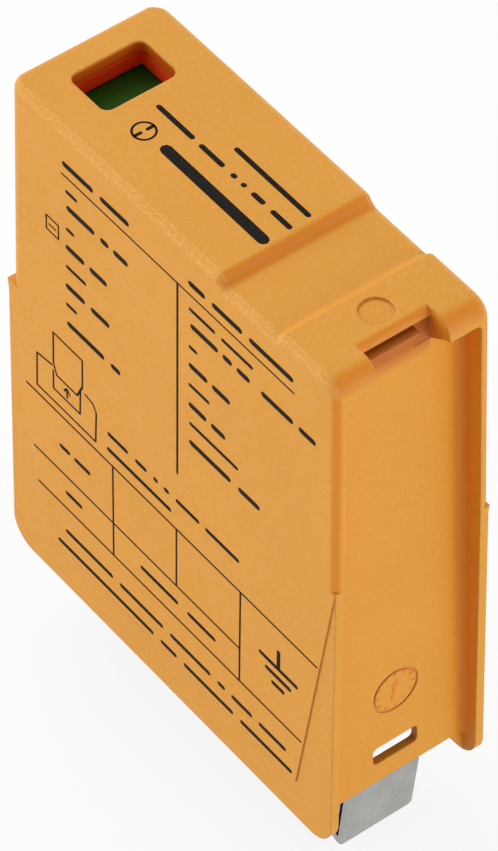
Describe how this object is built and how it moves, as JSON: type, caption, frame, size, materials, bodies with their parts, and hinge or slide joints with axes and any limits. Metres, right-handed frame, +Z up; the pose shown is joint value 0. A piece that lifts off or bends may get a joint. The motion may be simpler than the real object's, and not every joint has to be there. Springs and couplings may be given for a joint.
{
  "type": "plug-in surge arrester module",
  "caption": "Slim orange plug-in surge arrester module for a rail base, with contact blades below, guide channels and a latch notch at the ends, and a green status flag in a top window.",
  "frame": {"origin": "middle of the bounding box's bottom, level with the tips of the contact blades", "axes": "+X along the length from the window end to the latch end, +Y through the thickness from the marked face to the far one, +Z up out of the base"},
  "size_m": [0.0466, 0.0172, 0.0655],
  "materials": {
    "hood_plastic": "fine matte moulded texture",
    "carrier_plastic": "moulded",
    "insulation": "pressed board",
    "ceramic": "fired ceramic",
    "cap_metal": "drawn copper",
    "strap_metal": "stamped",
    "tinned_metal": "tinned",
    "rivet_metal": "tinned",
    "flag_plastic": "moulded",
    "solder": "cast",
    "spring_steel": "drawn wire",
    "red_plastic": "moulded"
  },
  "bodies": {
    "module": {"housing_hood": "hood_plastic", "inner_carrier": "carrier_plastic", "insulating_plate_near": "insulation", "insulating_plate_far": "insulation", "tube_ring": "ceramic", "tube_cap_near": "cap_metal", "tube_cap_far": "cap_metal", "strap_near": "strap_metal", "strap_far": "strap_metal", "blade_latch_end": "tinned_metal", "blade_window_end": "tinned_metal", "blade_rivets": "rivet_metal", "trip_spring": "spring_steel", "red_tray": "red_plastic"},
    "slider": {"trip_slider": "flag_plastic", "solder_pad": "solder"}
  },
  "joints": [
    {"name": "trip_slide", "type": "slide", "parent": "module", "child": "slider", "axis": [1, 0, 0], "range_m": [0, 0.0062], "deforming": ["trip_spring"]}
  ]
}
